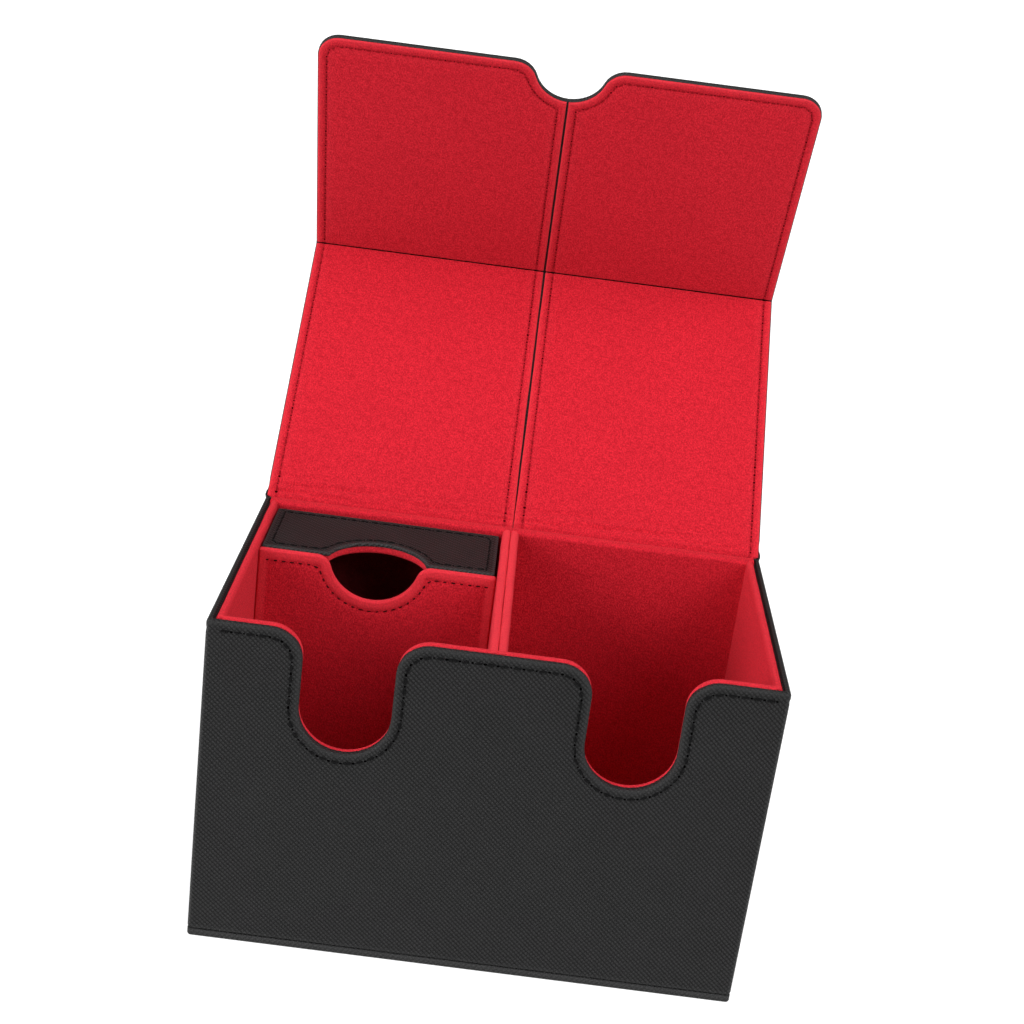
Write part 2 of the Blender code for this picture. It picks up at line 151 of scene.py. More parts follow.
# Name, strength, elevation, azimuth
SUNS = (
    ("left_low", 2.10, 15, -60),
    ("left_high", 0.90, 40, -60),
    ("right_high", 2.25, 40, 60),
    ("right_back", 0.25, 35, 110),
    ("left_back", 0.25, 35, -110),
    ("overhead", 0.50, 88, 0),
)


# -------- outlines


def arc(x, y, radius, start, end, steps):
    """Points on an arc about (x, y), from one angle to another in degrees."""
    angles = np.radians(np.linspace(start, end, steps + 1))
    return [(x + radius * math.cos(a), y + radius * math.sin(a)) for a in angles]


def rounded_box(left, low, right, high, radius, notch=None, shift=0.0):
    """The outline of a rectangle with rounded corners, as a function of the inset.

    A round notch may cut its upper edge, shift to the right of the middle.
    """
    steps = 3 if notch else 4

    def outline(inset):
        r = max(radius - inset, 0)
        x0, y0, x1, y1 = left + inset + r, low + inset + r, right - inset - r, high - inset - r
        return (
            arc(x0, y0, r, 180, 270, steps)
            + arc(x1, y0, r, 270, 360, steps)
            + arc(x1, y1, r, 0, 90, steps)
            + (round_notch((left + right) / 2 + shift, high, notch, inset) if notch else [])
            + arc(x0, y1, r, 90, 180, steps)
        )

    return outline


def u_notch(x, edge, proud, inset):
    """A deep finger notch, from its right flare to its left one."""
    half, flare = NOTCH_HALF - proud, NOTCH_FLARE + proud
    r = flare - inset
    return (
        arc(x + half + flare, edge - flare, r, 90, 180, 10)
        + arc(x, NOTCH_BOTTOM + NOTCH_HALF, half + inset, 0, -180, 24)
        + arc(x - half - flare, edge - flare, r, 0, 90, 10)
    )


def round_notch(x, edge, shape, inset, last=None):
    """A shallow round notch. shape is its radius, its centre's height over the edge, and its flare."""
    radius, rise, flare = shape[0] + inset, shape[1] + inset, max(shape[2] - inset, 0)
    drop = math.asin((rise + flare) / (radius + flare))
    reach = (radius + flare) * math.cos(drop)
    drop = math.degrees(drop)
    top = edge - inset
    right = arc(x + reach, top - flare, flare, 90, 180 - drop, 6)
    if last is not None:
        end = -math.degrees(math.acos((last - x) / radius))
        return right + arc(x, top + rise, radius, -drop, end, 12)
    left = arc(x - reach, top - flare, flare, drop, 90, 6)
    return right + arc(x, top + rise, radius, -drop, drop - 180, 24) + left


def front_edge(edge, proud, inset, end):
    """The front wall's upper edge, from right to left, with both finger notches."""
    return (
        [(end, edge - inset)]
        + u_notch(NOTCH_X[0], edge, proud, inset)
        + u_notch(NOTCH_X[1], edge, proud, inset)
        + [(-end, edge - inset)]
    )


def flap_outline(side, start):
    """One flap, from start on: a rounded outer corner and half of the notch that both flaps share."""

    def outline(inset):
        split, outer, end = SPLIT + inset, HALF_WIDTH - inset, FLAP_END - inset
        r = FLAP_CORNER - inset
        points = [(split, start), (outer, start)]
        points += arc(outer - r, end - r, r, 0, 90, 10)
        points += round_notch(0, FLAP_END, FLAP_NOTCH, inset, last=split)
        return [(side * x, y) for x, y in points]

    return outline


# -------- profiles


def rounding(radius, steps=STEPS):
    """(inset, depth) pairs from a face round to its edge."""
    turns = np.linspace(0, math.pi / 2, steps + 1)
    return [(radius * (1 - math.sin(a)), radius * (1 - math.cos(a))) for a in turns]


def groove(inset, depth, width=0.9):
    """The shallow furrow that a row of stitches pulls down."""
    shares = ((1, 0), (0.55, 0.4), (0.2, 0.95), (-0.2, 0.95), (-0.55, 0.4), (-1, 0))
    return [(inset + a * width, depth * b) for a, b in shares]


def lid_leather_edge():
    """The leather of a lid or flap, with its row of stitches."""
    return cupped_edge(1.05, LID_DEPTH - LEATHER_TOP, 0.72, SKIN, groove(STITCH_INSET, 0.13))


def lining_edge():
    """The suede of a lid or flap: flat, pulled down by the stitches, then puffed up to its rounded edge."""
    puffed = groove(STITCH_INSET - EDGE_STEP, 0.24, 1.0)
    return [(6.0, 0.0)] + puffed + [(1.2, -0.06)] + rounding(0.62)[1:] + [(0.05, LINING)]


def turned(pairs, thickness):
    """The same rounding on the plate's other face."""
    return [(inset, thickness - depth) for inset, depth in reversed(pairs)]


def bullnose(thickness, radius, back_radius=None):
    """A board wrapped in suede or leather, rounded on both edges."""
    back = rounding(radius if back_radius is None else back_radius)
    return rounding(radius) + turned(back, thickness)


def cupped_edge(radius, height, wall, floor, furrow=()):
    """A skin with its edges turned up round a board, open towards the board."""
    lip = 0.2
    return (
        list(furrow)
        + rounding(radius)
        + [(0, height - lip), (lip * 0.3, height - lip * 0.3), (lip, height)]
        + [(wall - lip * 0.3, height), (wall, height - lip), (wall, floor)]
    )


# -------- meshes


def mesh_from(name, bm, flat):
    """The mesh, smooth but for its sharp edges, with the flat pattern as its UV map in millimetres."""
    bmesh.ops.recalc_face_normals(bm, faces=bm.faces)
    uv = bm.loops.layers.uv.new("pattern")
    for face in bm.faces:
        for loop in face.loops:
            loop[uv].uv = loop.vert[flat].xy
    mesh = bpy.data.meshes.new(name)
    bm.to_mesh(mesh)
    bm.free()
    mesh.polygons.foreach_set("use_smooth", [True] * len(mesh.polygons))
    mesh.set_sharp_from_angle(angle=SHARP)
    return mesh


def bends_of(profile):
    """How far the profile turns outwards round each of its points: 1 is a sharp edge, -1 a sharp furrow."""
    steps = np.diff(np.array(profile, float), axis=0)
    lengths = np.linalg.norm(steps, axis=1)
    runs = np.concatenate([[0], np.cumsum(lengths)])
    middles = (runs[1:] + runs[:-1]) / 2
    ways = np.unwrap(np.arctan2(steps[:, 1], steps[:, 0]))
    before, after = (np.interp(runs + reach, middles, ways) for reach in (-BEND_REACH, BEND_REACH))
    return np.clip((before - after) / (math.pi / 2), -1, 1)


def skin_over(bm, loops):
    """Joins loops that all have as many vertices, one to the next, and caps the first and the last."""
    for low, high in zip(loops, loops[1:]):
        for i in range(len(low)):
            j = (i + 1) % len(low)
            bm.faces.new((low[i], low[j], high[j], high[i]))
    bm.faces.new(loops[0])
    bm.faces.new(loops[-1])


def plate(name, outline, profile, place, cuts=(), trims=(), scuff_and_highlight=None):
    """A closed plate: the outline's rings at each (inset, depth) of the profile, capped at both ends.

    cuts are (axis, value) lines that split its faces, so that place can bend it.
    trims are (axis, value, way): what lies beyond that line on that side is cut off.
    The last argument gives the least edge mark at a place in the drawing: scuffed wear, which the finishes
    also brighten as a painted highlight. The profile's outward bends mark wear and a painted highlight too,
    and its furrows mark painted shade.
    """
    bm = bmesh.new()
    flat = bm.verts.layers.float_vector.new("flat")
    # The edge attribute: outward bends carry wear and a painted highlight, furrows carry painted shade.
    bend_marks = bm.verts.layers.float.new("edge")
    loops = []
    bent = bends_of(profile)
    spread = profile[0][0]
    for i, (inset, depth) in enumerate(profile):
        if i:
            spread = max(spread - math.dist(profile[i], profile[i - 1]), -3)
        loop = []
        for (x, y), unrolled in zip(outline(inset), outline(spread)):
            vert = bm.verts.new((x, y, depth))
            vert[flat] = (*unrolled, 0)
            vert[bend_marks] = bent[i]
            loop.append(vert)
        loops.append(loop)
    skin_over(bm, loops)
    bmesh.ops.remove_doubles(bm, verts=bm.verts, dist=WELD)
    for axis, value, *way in [*cuts, *trims]:
        normal = Vector([float(axis == "x"), float(axis == "y"), 0])
        made = bmesh.ops.bisect_plane(
            bm,
            geom=bm.verts[:] + bm.edges[:] + bm.faces[:],
            dist=WELD,
            plane_co=normal * value,
            plane_no=normal * (way[0] if way else 1),
            clear_outer=bool(way),
        )
        if way:
            edges = [e for e in made["geom_cut"] if isinstance(e, bmesh.types.BMEdge)]
            bmesh.ops.triangle_fill(bm, edges=edges, use_beauty=True)
    for vert in bm.verts:
        if scuff_and_highlight:
            vert[bend_marks] = max(vert[bend_marks], scuff_and_highlight(*vert.co))
        vert.co = Vector(place(*vert.co)) * MM
    return mesh_from(name, bm, flat)


def loft(name, rows):
    """A closed skin over rows of closed loops of points, which all have as many points."""
    bm = bmesh.new()
    flat = bm.verts.layers.float_vector.new("flat")
    bm.verts.layers.float.new("edge")
    loops = []
    for row in rows:
        loop, run = [], 0
        for i, point in enumerate(row):
            run += math.dist(point, row[i - 1]) if i else 0
            vert = bm.verts.new(Vector(point) * MM)
            vert[flat] = (point[0], run, 0)
            loop.append(vert)
        loops.append(loop)
    skin_over(bm, loops)
    return mesh_from(name, bm, flat)


def add_object(name, data):
    """A new object in the scene."""
    obj = bpy.data.objects.new(name, data)
    bpy.context.scene.collection.objects.link(obj)
    return obj


def add_piece(name, mesh, finish, body=None, stands_for=()):
    """A new piece with a finish, in place of CAD nodes. It rides on the body, if one is given."""
    obj = add_object(name, mesh)
    mesh.materials.append(finish["material"])
    normals = obj.modifiers.new("Even faces", "WEIGHTED_NORMAL")
    normals.keep_sharp = True
    if stands_for:
        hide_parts(*stands_for)
    if body:
        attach(obj, body)
    return obj


# -------- places


def standing(y, way):
    """A plate drawn in (x, z), with depth along Y."""
    return lambda x, z, t: (x, y + way * t, z)


def sideways(x, way):
    """A plate drawn in (y, z), with depth along X."""
    return lambda y, z, t: (x + way * t, y, z)


def lying(z, way):
    """A plate drawn in (x, y), with depth along Z."""
    return lambda x, y, t: (x, y, z + way * t)


def on_lid(along, depth):
    """(y, z) on an open lid, that far from its hinge and that deep under its lining's face."""
    return HINGE + LID_ALONG * along - LID_UP * depth


def on_flap(along, depth):
    """(y, z) on a flap, that far from its fold and that deep under its lining's face."""
    return FOLD + FLAP_ALONG * along - FLAP_UP * depth


def smoothstep(low, high, value):
    """0 up to low, 1 from high on, and an even rise between them."""
    t = min(max((value - low) / (high - low), 0), 1)
    return t * t * (3 - 2 * t)


class Bend:
    """A smooth path through points in the YZ plane, straight beyond both ends.

    at(run, height) is the point at that length along it and that high on its left. The last point is at
    the run given.
    """

    def __init__(self, points, last_run):
        points = [Vector(p) for p in points]
        ends = [2 * points[0] - points[1], *points, 2 * points[-1] - points[-2]]
        fine = []
        for a, b, c, d in zip(ends, ends[1:], ends[2:], ends[3:]):
            for t in np.arange(0, 1, 0.1):
                fine.append(
                    0.5 * (2 * b + (c - a) * t + (2 * a - 5 * b + 4 * c - d) * t**2)
                    + 0.5 * (3 * b - a - 3 * c + d) * t**3
                )
        fine.append(points[-1])
        self.points = np.array([p[:] for p in fine])
        steps = np.diff(self.points, axis=0)
        lengths = np.linalg.norm(steps, axis=1)
        self.runs = np.concatenate([[0], np.cumsum(lengths)])
        self.runs += last_run - self.runs[-1]
        ways = steps / lengths[:, None]
        self.ways = np.vstack([ways[:1], (ways[1:] + ways[:-1]) / 2, ways[-1:]])

    def run_to(self, z):
        """The run at which the path first comes as high as z."""
        return float(self.runs[np.argmax(self.points[:, 1] >= z)])

    def at(self, run, height):
        inside = min(max(run, self.runs[0]), self.runs[-1])
        point = np.array([np.interp(inside, self.runs, self.points[:, k]) for k in (0, 1)])
        way = np.array([np.interp(inside, self.runs, self.ways[:, k]) for k in (0, 1)])
        way /= np.linalg.norm(way)
        return point + way * (run - inside) + np.array([-way[1], way[0]]) * height


# -------- materials


class Nodes:
    """Short ways to add shader nodes to a material."""

    def __init__(self, name):
        self.material = bpy.data.materials.new(name)
        self.material.use_nodes = True
        self.tree = self.material.node_tree
        self.shader = self.tree.nodes["Principled BSDF"]

    def add(self, kind, settings=None, **inputs):
        """A node with attributes from settings. Each input is a value or another node's output."""
        node = self.tree.nodes.new("ShaderNode" + kind)
        for key, value in (settings or {}).items():
            setattr(node, key, value)
        for key, value in inputs.items():
            socket = node.inputs[int(key[1:]) if key[0] == "i" and key[1:].isdigit() else key]
            self.feed(socket, value)
        return node

    def feed(self, socket, value):
        if isinstance(value, bpy.types.NodeSocket):
            self.tree.links.new(value, socket)
        else:
            socket.default_value = value

    def maths(self, operation, a, b=0.0, c=0.0):
        return self.add("Math", {"operation": operation}, i0=a, i1=b, i2=c).outputs[0]

    def noise(self, vector, scale, detail=2.0, rough=0.5):
        return self.add(
            "TexNoise", Vector=vector, Scale=scale, Detail=detail, Roughness=rough
        ).outputs["Fac"]

    def wave(self, vector, length, distortion=0.0, detail_scale=1.0):
        """A sine of that wavelength along the vector's X."""
        return self.add(
            "TexWave",
            Vector=vector,
            Scale=math.tau / (20 * length),
            Distortion=distortion,
            **{"Detail": 2.0, "Detail Scale": detail_scale},
        ).outputs["Fac"]

    def turned(self, vector, angle=0.0, scale=(1, 1, 1)):
        return self.add(
            "Mapping", Vector=vector, Rotation=(0, 0, math.radians(angle)), Scale=scale
        ).outputs[0]

    def edge_marks(self):
        """The mesh's edge marks: wear and a painted highlight on outward bends, painted shade in furrows."""
        return self.add("Attribute", {"attribute_name": "edge"}).outputs["Fac"]

    def blend(self, factor, a, b):
        node = self.add("Mix", {"data_type": "RGBA"}, i0=factor)
        self.feed(node.inputs[6], a)
        self.feed(node.inputs[7], b)
        return node.outputs[2]

    def ramp(self, value, low, high):
        """value stretched from low..high to 0..1."""
        node = self.add("MapRange", {"clamp": True}, Value=value)
        node.inputs["From Min"].default_value = low
        node.inputs["From Max"].default_value = high
        return node.outputs[0]

    def bump(self, height, distance):
        node = self.add("Bump", Height=height, Distance=distance, Strength=1.0)
        self.feed(self.shader.inputs["Normal"], node.outputs[0])

    def set(self, **values):
        for key, value in values.items():
            self.feed(self.shader.inputs[key.replace("_", " ")], value)


def shade(colour, share, lift=0.0):
    """The colour times a share, plus a lift, as a socket's value."""
    return tuple(min(c * share + lift, 1) for c in colour) + (1,)


def pattern(nodes, flat):
    """The flat pattern in millimetres: the UV map, or the object's own space for a CAD node."""
    if flat:
        return nodes.add("UVMap", {"uv_map": "pattern"}).outputs[0]
    place = nodes.add("TexCoord").outputs["Object"]
    return nodes.turned(place, scale=(1000, 1000, 1000))


def suede(name, colour, flat=True):
    """Brushed suede: a short nap, clumps that lean together, and patches where it lies differently. Outward
    edges are lighter, partly wear and partly a painted highlight, and furrows get painted shade.
    """
    nodes = Nodes(name)
    at = pattern(nodes, flat)
    nap = nodes.noise(nodes.turned(at, 4, (1.3, 0.85, 1)), 1.75, 2.0, 0.8)
    clumps = nodes.noise(nodes.turned(at, 12, (0.9, 0.55, 1)), 0.75, 2.0, 0.6)
    patches = nodes.noise(at, 0.05, 2.0, 0.5)
    edge_marks = nodes.edge_marks()
    mixed = nodes.maths("ADD", nodes.maths("MULTIPLY", nap, 0.8), nodes.maths("MULTIPLY", clumps, 0.2))
    tone = nodes.ramp(mixed, 0.39, 0.61)
    dark = shade(colour, 0.68)
    base = nodes.blend(tone, dark, shade(colour, 1.32, 0.005))
    patchy = nodes.ramp(patches, 0.3, 0.7)
    deeper = nodes.blend(nodes.maths("MULTIPLY", patchy, 0.12), base, dark)
    # Lighter on outward bends: partly wear, partly a painted highlight.
    scuff_and_highlight = nodes.blend(nodes.ramp(edge_marks, 0.0, 1.7), deeper, shade(colour, 1.4, 0.03))
    # Darker in the furrows along the stitches: painted shade.
    pressed = nodes.blend(nodes.ramp(edge_marks, 0.0, -0.9), scuff_and_highlight, shade(colour, 0.35))
    nodes.set(Base_Color=pressed, Roughness=nodes.maths("MULTIPLY_ADD", nap, 0.15, 0.82))
    nodes.set(Specular_IOR_Level=0.05, Sheen_Weight=0.08, Sheen_Roughness=0.5)
    nodes.set(Sheen_Tint=(1.0, 0.30, 0.32, 1))
    nodes.bump(mixed, 0.00030)
    return {"material": nodes.material, "slot": "red_suede"}


def leather(name, colour, angle=-46.0, pitch=1.02):
    """Pressed leather: slanted ribs with thin furrows between them, nicked across, and edges made paler
    partly by rubbing and partly as a painted highlight.
    """
    nodes = Nodes(name)
    at = pattern(nodes, True)
    ribs = nodes.ramp(nodes.wave(nodes.turned(at, angle), pitch, 0.9, 0.7), 0.05, 0.75)
    nicks = nodes.ramp(nodes.wave(nodes.turned(at, angle + 90), pitch, 1.0, 0.6), 0.05, 0.65)
    fine = nodes.noise(at, 3.2, 3.0, 0.6)
    patches = nodes.noise(at, 0.07, 3.0, 0.6)
    edge_marks = nodes.edge_marks()
    grain = nodes.maths("MULTIPLY", ribs, nodes.maths("MULTIPLY_ADD", nicks, 0.7, 0.3))
    height = nodes.maths("MULTIPLY_ADD", fine, 0.15, grain)
    varied = nodes.maths("MULTIPLY", nodes.ramp(patches, 0.3, 0.7), 0.14)
    tone = nodes.maths("MULTIPLY_ADD", grain, 0.86, varied)
    base = nodes.blend(tone, shade(colour, 0.05), shade(colour, 1.8))
    # Paler edges: partly rubbed wear, partly a painted highlight on the rim.
    scuff_highlight_mask = nodes.maths("MULTIPLY", nodes.ramp(edge_marks, 0.1, 0.7), nodes.ramp(fine, 0.2, 0.6))
    scuff_and_highlight = nodes.blend(nodes.maths("MULTIPLY", scuff_highlight_mask, 0.7), base, shade(colour, 2.6, 0.022))
    rough = nodes.maths("MULTIPLY_ADD", grain, -0.22, nodes.maths("MULTIPLY_ADD", fine, 0.12, 0.70))
    nodes.set(Base_Color=scuff_and_highlight, Roughness=rough, Specular_IOR_Level=0.25)
    nodes.bump(height, 0.00026)
    return {"material": nodes.material, "slot": "black_leather"}


def thread(name, colour, slot, hole_shade_share=0.12):
    """Dull twisted thread. Its second material is the painted shade of the needle's holes."""
    nodes = Nodes(name)
    place = nodes.turned(nodes.add("TexCoord").outputs["Object"], 45, (1000, 1000, 1000))
    twist = nodes.wave(place, 0.35, 1.0, 1.0)
    nodes.set(Base_Color=nodes.blend(twist, shade(colour, 0.5), shade(colour, 1)))
    nodes.set(Roughness=nodes.maths("MULTIPLY_ADD", twist, -0.1, 0.85), Specular_IOR_Level=0.08)
    nodes.bump(twist, 0.00006)
    pit = Nodes(name + "_hole")
    fluff = pit.noise(pit.add("TexCoord").outputs["Object"], 3000.0)
    pit.set(Base_Color=pit.blend(fluff, shade(colour, hole_shade_share * 0.3), shade(colour, hole_shade_share)))
    pit.set(Roughness=pit.maths("MULTIPLY_ADD", fluff, 0.05, 0.93), Specular_IOR_Level=0.0)
    return {"material": nodes.material, "slot": slot, "hole": pit.material}


def card(name, colour):
    """Grey book board: pressed fibres."""
    nodes = Nodes(name)
    at = pattern(nodes, False)
    fibres = nodes.noise(nodes.turned(at, 20, (0.6, 3, 1.5)), 0.8, 4.0, 0.7)
    tone = nodes.ramp(fibres, 0.3, 0.7)
    nodes.set(Base_Color=nodes.blend(tone, shade(colour, 0.7), shade(colour, 1)))
    nodes.set(Roughness=nodes.maths("MULTIPLY_ADD", fibres, 0.15, 0.8))
    nodes.bump(fibres, 0.0001)
    return {"material": nodes.material, "slot": "grey_board"}


def nickel(name, colour):
    """Plated metal with fine turning marks."""
    nodes = Nodes(name)
    marks = nodes.noise(nodes.turned(pattern(nodes, False), 0, (0.3, 4, 4)), 2.0, 3.0, 0.6)
    nodes.set(Base_Color=nodes.blend(marks, shade(colour, 0.8), shade(colour, 1)), Metallic=1.0)
    nodes.set(Roughness=nodes.maths("MULTIPLY_ADD", marks, 0.25, 0.2))
    nodes.bump(marks, 0.00002)
    return {"material": nodes.material, "slot": "magnet_nickel"}


def plain(name, grey, glow):
    """A matt stage surface that also glows a little, so that it comes out pale."""
    nodes = Nodes(name)
    nodes.set(Base_Color=(grey, grey, grey, 1), Roughness=0.9, Specular_IOR_Level=0.0)
    nodes.set(Emission_Color=(1.0, 1.0, 1.0, 1), Emission_Strength=glow)
    return nodes.material


RED = (0.540, 0.0120, 0.0245)
SUEDE = suede("red_suede", RED)
# A darker copy of the suede for the flaps, which lean forward and face down: painted shade.
SHADE_PAINTED_FLAP_LINING = suede("red_suede_flap_shade_painted", shade(RED, 0.90)[:3])
# A much darker copy of the suede for the inside of the tray: painted shade of its deep interior.
SHADE_PAINTED_TRAY_LINING = suede("tray_suede_shade_painted", (0.170, 0.0070, 0.0100))
SUEDE_BLOCK = suede("red_suede_block", RED, flat=False)
LEATHER = leather("black_leather", (0.0078, 0.0078, 0.0080))
TRAY_LEATHER = leather("tray_leather_fine", (0.0130, 0.0128, 0.0130), angle=-45.0, pitch=0.98)
BLACK_THREAD = thread("black_thread", (0.0060, 0.0060, 0.0062), "black_leather")
RED_THREAD = thread("dark_red_thread", (0.300, 0.0055, 0.0110), "red_suede", 0.16)
MAROON_THREAD = thread("maroon_thread", (0.0500, 0.0025, 0.0040), "red_suede", 0.5)
CARD = card("grey_card", (0.300, 0.280, 0.250))
NICKEL = nickel("nickel", (0.600, 0.590, 0.570))


def finish_cad_nodes():
    """The boards, magnets and floors keep their CAD shape and get a better material."""
    finishes = (("magnet", NICKEL), ("board", CARD), ("floor_liner", SUEDE_BLOCK))
    for name, obj in frame["nodes"].items():
        for word, finish in finishes:
            if word in name:
                obj.material_slots[0].material = finish["material"]
                break


# -------- stitching


def steps_along(path, pitch):
    """(middle, direction, start) of each of the equal steps, of about the pitch, along an open path."""
    path = np.array(path, float)
    path = path[np.concatenate([[True], np.linalg.norm(np.diff(path, axis=0), axis=1) > 1e-6])]
    runs = np.concatenate([[0], np.cumsum(np.linalg.norm(np.diff(path, axis=0), axis=1))])
    count = max(1, round(runs[-1] / pitch))
    step = runs[-1] / count

    def point(run):
        return Vector([np.interp(run, runs, path[:, k]) for k in (0, 1)])

    for i in range(count):
        start, end = point(i * step), point((i + 1) * step)
        yield (start + end) / 2, (end - start).normalized(), start


def add_tube(bm, place, centre, way, length, radius, lift):
    """One stitch: a short thread that rises from its two holes."""
    across = Vector((-way.y, way.x))
    rings = []
    for share in np.linspace(-1, 1, 7):
        bulge = math.sqrt(max(1 - share**4, 0.02))
        middle = centre + way * (share * length / 2)
        depth = -lift * math.cos(share * math.pi / 2) + 0.35 * lift
        ring = []
        for angle in np.linspace(0, math.tau, 7)[:-1]:
            spot = middle + across * (radius * bulge * math.cos(angle))
            ring.append(bm.verts.new(place(*spot, depth - radius * bulge * math.sin(angle))))
        rings.append(ring)
    skin_over(bm, rings)


def add_hole(bm, place, centre, way, radius, depth):
    """The needle's hole as painted shade: a small dark lens sunk in the surface."""
    across = Vector((-way.y, way.x))
    middle = bm.verts.new(place(*centre, depth - 0.06))
    under = bm.verts.new(place(*centre, depth + 0.10))
    ring = []
    for angle in np.linspace(0, math.tau, 9)[:-1]:
        spot = centre + across * (radius * math.cos(angle)) + way * (radius * 0.8 * math.sin(angle))
        ring.append(bm.verts.new(place(*spot, depth + 0.03)))
    for i in range(len(ring)):
        j = (i + 1) % len(ring)
        for face in (bm.faces.new((ring[i], ring[j], middle)), bm.faces.new((ring[j], ring[i], under))):
            face.material_index = 1


def uneven(spot):
    """Four numbers within about -1 to 1 that depend on the place alone, for hand-made unevenness."""
    return [2 * noise.noise((spot.x * 1.7, spot.y * 1.7, 11.3 * k)) for k in range(1, 5)]


def stitches(name, paths, place, look, finish, body):
    """Rows of stitches, one along each path. look is one of the _STITCH sizes."""
    pitch, length, radius, lift, sunk, hole_radius = look
    bm = bmesh.new()
    flat = bm.verts.layers.float_vector.new("flat")
    for path in paths:
        for centre, way, hole in steps_along(path, pitch):
            turn, stretch, swell, gape = uneven(centre)
            slant = Matrix.Rotation(math.radians(5 + 6 * turn), 2) @ way
            long, thick = length * (1 + 0.2 * stretch), radius * (1 + 0.2 * swell)
            add_tube(bm, lambda x, y, t: place(x, y, t + sunk), centre, slant, long, thick, lift)
            add_hole(bm, place, hole, way, hole_radius * (1 + 0.35 * gape), sunk)
    bmesh.ops.scale(bm, vec=(MM, MM, MM), verts=bm.verts)
    obj = add_piece(name, mesh_from(name, bm, flat), finish, body)
    obj.data.materials.append(finish["hole"])
    return obj


# -------- case


def around_case():
    """The wall's outer and inner faces round the case, against the run from the middle of the front.

    straight is how far the front is straight, ends where the wall ends at the back, and tight the
    radius of the inner corners.
    """
    inner_x, inner_y = box_mm("right_side_liner")[1].x + 0.1, WALL_INSIDE
    straight, ends, tight = 74.0, 76.25, 0.3
    knots = [(0, 0, -HALF_DEPTH, 0, -inner_y), (straight, straight, -HALF_DEPTH, straight, -inner_y)]
    run = HALF_WIDTH - CORNER
    for way, onwards in ((-1, 2 * (HALF_DEPTH - CORNER)), (1, HALF_WIDTH - CORNER - ends)):
        for a in np.radians(np.linspace(0, 90, STEPS + 1)):
            u, v = (math.sin(a), -math.cos(a)) if way < 0 else (math.cos(a), math.sin(a))
            outer = (HALF_WIDTH - CORNER + CORNER * u, way * (HALF_DEPTH - CORNER) + CORNER * v)
            inner = (inner_x - tight + tight * u, way * (inner_y - tight) + tight * v)
            knots.append((run + CORNER * a, *outer, *inner))
        run += CORNER * math.pi / 2 + onwards
    knots.append((run, ends, HALF_DEPTH, ends, inner_y))
    mirrored = [(-r, -x, y, -ix, iy) for r, x, y, ix, iy in reversed(knots[1:])]
    return np.array(mirrored + knots)


def make_walls():
    """The leather of all four walls in one sheet, drawn flat and bent round the case."""
    knots = around_case()
    runs = knots[:, 0]
    thickness = HALF_DEPTH - WALL_INSIDE
    end, low = runs[-1], WRAP_LOW.z - 0.25
    stitched = 74.5
    hem, rim, ledge = 4.0, 1.7, 0.12
    top = RIM_TOP + RIM_PUFF

    def outline(inset):
        left, right, upper = -end + inset, end - inset, top - inset
        edge = front_edge(top, 0, inset, stitched)
        return [(left, low + inset), (right, low + inset), (right, upper), *edge, (left, upper)]

    def place(u, z, depth):
        if depth < 0.4 and low + 1.5 < z < top - 1.2:
            furrowed = 1 - smoothstep(79, 82, abs(u))
            depth *= furrowed if z > NOTCH_BOTTOM / 2 else 0
        if depth > rim:
            z -= (RIM_PUFF + 0.14) * smoothstep(top - 4, top - 0.5, z)
        x, y, inner_x, inner_y = [np.interp(u, runs, knots[:, k]) for k in (1, 2, 3, 4)]
        share = depth / thickness
        return x + (inner_x - x) * share, y + (inner_y - y) * share, z

    profile = (
        groove(FRONT_INSET, 0.13, 1.0)
        + rounding(0.95)
        + [(0, rim - 0.35), (0.03, rim - 0.15), (0.07, rim - 0.05), (ledge, rim)]
        + [(ledge, thickness - 0.05), (ledge + 0.05, thickness), (hem, thickness)]
        + [(hem, thickness - 0.15), (ledge + 0.2, thickness - 0.15), (ledge + 0.2, SKIN)]
    )

    # Paler near the corners: scuffed wear, which the leather also brightens as a painted highlight.
    def scuff_and_highlight(u, z, depth):
        away = min(abs(abs(u) - bend) for bend in (HALF_WIDTH, HALF_WIDTH + 2 * HALF_DEPTH))
        return 0.75 * (1 - smoothstep(0, 1.6, away)) if depth < rim else 0

    cuts = [("x", r) for r in runs if r]
    mesh = plate("wall_leather", outline, profile, place, cuts, scuff_and_highlight=scuff_and_highlight)
    add_piece("wall_leather", mesh, LEATHER, "case", ["leather_wrap"])
    path = front_edge(top, 0, FRONT_INSET, stitched)
    stitches("front_stitches", [path], standing(-HALF_DEPTH, 1), FRONT_STITCH, BLACK_THREAD, "case")


def make_back_leather():
    """The panel glued on the back wall, up to the seam under the hinge."""
    outline = rounded_box(-BACK_HALF, WRAP_LOW.z - 0.2, BACK_HALF, BACK_SEAM + 8, 0.6)
    place = standing(HALF_DEPTH, -1)
    mesh = plate("back_leather", outline, bullnose(SKIN, 0.22), place, trims=[("y", BACK_SEAM, 1)])
    add_piece("back_leather", mesh, LEATHER, "case", ["leather_wrap"])


def make_base():
    """The leather under the case, turned up round its edge."""
    low, high = box_mm("base_leather")
    outline = rounded_box(low.x, low.y, high.x, high.y, CORNER)
    profile = cupped_edge(0.75, high.z, 0.75, SKIN + 0.1)
    mesh = plate("base_skin", outline, profile, lying(low.z, 1))
    add_piece("base_skin", mesh, LEATHER, "case", ["base_leather"])


